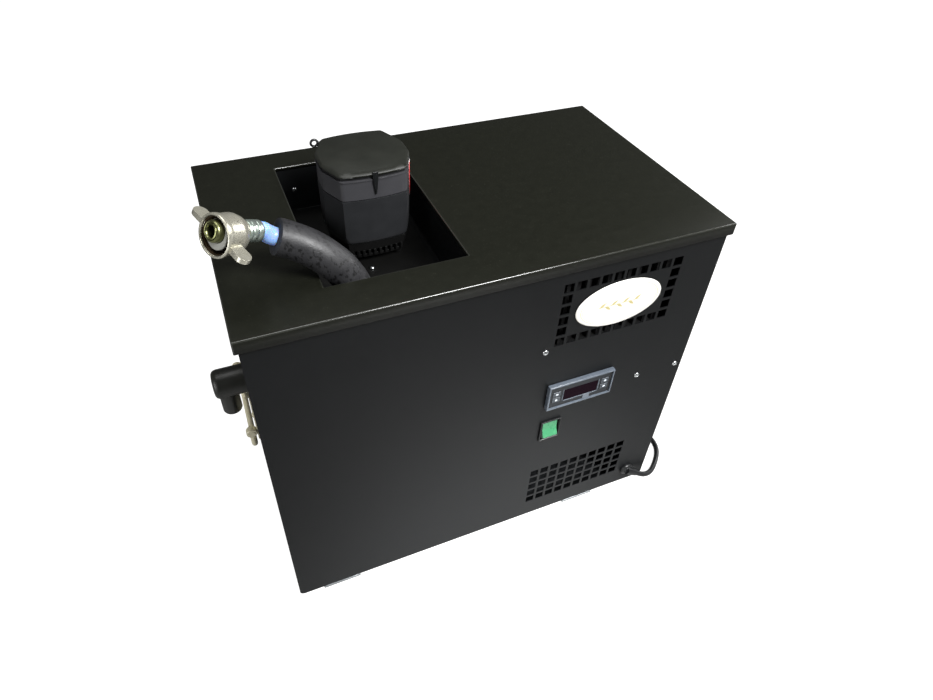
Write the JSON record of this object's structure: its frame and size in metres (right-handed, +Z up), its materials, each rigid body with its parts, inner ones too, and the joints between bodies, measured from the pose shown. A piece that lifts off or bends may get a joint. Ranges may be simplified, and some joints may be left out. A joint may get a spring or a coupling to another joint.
{
  "type": "under-counter wet beverage cooler",
  "caption": "Black steel cooler cabinet with a motor and an insulated hose rising from a recess in its lid, a front with vents, display, lit rocker and badge, and folding side handles.",
  "frame": {"origin": "on the floor, below the middle of the cabinet's bounding box measured without the lead, the product hose and what is on them", "axes": "+X to the right along the front, +Y from the front to the back, +Z up"},
  "size_m": [0.5853, 0.2855, 0.4725],
  "materials": {
    "powder_coat": "black textured powder coat",
    "galvanised": "galvanised sheet",
    "black_plastic": "moulded black",
    "grey_plastic": "moulded slate grey",
    "foam": "rigid insulation foam",
    "white_plastic": "moulded white",
    "stainless": "drawn stainless tube",
    "copper": "bare copper",
    "aluminium": "plain fins",
    "black_paint": "gloss black enamel",
    "nickel": "warm nickel plate",
    "rubber_foam": "closed-cell insulation",
    "clear_hose": "translucent blue tube",
    "rubber": "black flexible PVC",
    "screen": "dark red-violet window",
    "button_grey": "light grey keys",
    "green_lens": "lit green lens",
    "badge_white": "white gloss",
    "steel": "plated steel"
  },
  "bodies": {
    "cabinet": {"foot_rail_left": "galvanised", "foot_rail_right": "galvanised", "base_tray": "galvanised", "compressor_mount": "galvanised", "front_panel": "powder_coat", "rear_panel": "powder_coat", "left_panel": "powder_coat", "right_panel": "powder_coat", "lid": "powder_coat", "recess_collar": "powder_coat", "bath_cover": "black_plastic", "agitator_base": "black_plastic", "agitator_body": "black_plastic", "agitator_cap": "black_plastic", "cap_clip": "black_plastic", "cap_eyelet": "black_plastic", "rocker_frame": "black_plastic", "fan_shroud": "black_plastic", "overflow_elbow": "black_plastic", "agitator_band": "grey_plastic", "controller_case": "grey_plastic", "bath_insulation": "foam", "bath_tank": "white_plastic", "nut_washer": "white_plastic", "product_coil": "stainless", "evaporator_coil": "copper", "agitator_stator": "copper", "filter_drier": "copper", "liquid_line": "copper", "suction_line": "copper", "panel_screw_left": "steel", "panel_screw_middle": "steel", "panel_screw_right": "steel", "hose_grommet": "rubber", "cord_gland": "rubber", "mains_cord": "rubber", "mains_cord_coil": "rubber", "mains_plug": "rubber", "hose_sleeve": "rubber_foam", "inner_hose": "clear_hose", "hose_tail": "nickel", "handle_plate_left": "nickel", "handle_plate_right": "nickel", "controller_display": "screen", "badge": "badge_white", "compressor": "black_paint", "fan_motor": "black_paint", "condenser": "aluminium"},
    "agitator": {"agitator_rotor": "steel", "agitator_impeller": "white_plastic"},
    "fan": {"fan_blades": "grey_plastic"},
    "rocker": {"rocker_paddle": "green_lens"},
    "key_set_body": {"key_set": "button_grey"},
    "key_defrost_body": {"key_defrost": "button_grey"},
    "key_up_body": {"key_up": "button_grey"},
    "key_down_body": {"key_down": "button_grey"},
    "nut": {"wing_nut": "nickel"},
    "bail_left": {"handle_bail_left": "nickel"},
    "bail_right": {"handle_bail_right": "nickel"}
  },
  "joints": [
    {"name": "agitator_spin", "type": "hinge", "parent": "cabinet", "child": "agitator", "pos_m": [-0.07185, 0.024, 0.2], "axis": [0, 0, 1], "continuous": true},
    {"name": "fan_spin", "type": "hinge", "parent": "cabinet", "child": "fan", "pos_m": [0.12465, -0.0802, 0.3315], "axis": [0, 1, 0], "continuous": true},
    {"name": "rocker_tilt", "type": "hinge", "parent": "cabinet", "child": "rocker", "pos_m": [0.07395, -0.133, 0.1673], "axis": [1, 0, 0], "range_deg": [0, 18]},
    {"name": "key_set_press", "type": "slide", "parent": "cabinet", "child": "key_set_body", "axis": [0, 1, 0], "range_m": [0, 0.0008], "stiffness_N_per_m": 400},
    {"name": "key_defrost_press", "type": "slide", "parent": "cabinet", "child": "key_defrost_body", "axis": [0, 1, 0], "range_m": [0, 0.0008], "stiffness_N_per_m": 400},
    {"name": "key_up_press", "type": "slide", "parent": "cabinet", "child": "key_up_body", "axis": [0, 1, 0], "range_m": [0, 0.0008], "stiffness_N_per_m": 400},
    {"name": "key_down_press", "type": "slide", "parent": "cabinet", "child": "key_down_body", "axis": [0, 1, 0], "range_m": [0, 0.0008], "stiffness_N_per_m": 400},
    {"name": "wing_nut_turn", "type": "hinge", "parent": "cabinet", "child": "nut", "pos_m": [-0.21317, -0.0904, 0.45721], "axis": [-0.7772, -0.5081, 0.3711], "continuous": true},
    {"name": "bail_left_swing", "type": "hinge", "parent": "cabinet", "child": "bail_left", "pos_m": [-0.22395, 0.001, 0.194], "axis": [0, 1, 0], "range_deg": [0, 90]},
    {"name": "bail_right_swing", "type": "hinge", "parent": "cabinet", "child": "bail_right", "pos_m": [0.24125, 0.001, 0.194], "axis": [0, -1, 0], "range_deg": [0, 90]}
  ]
}
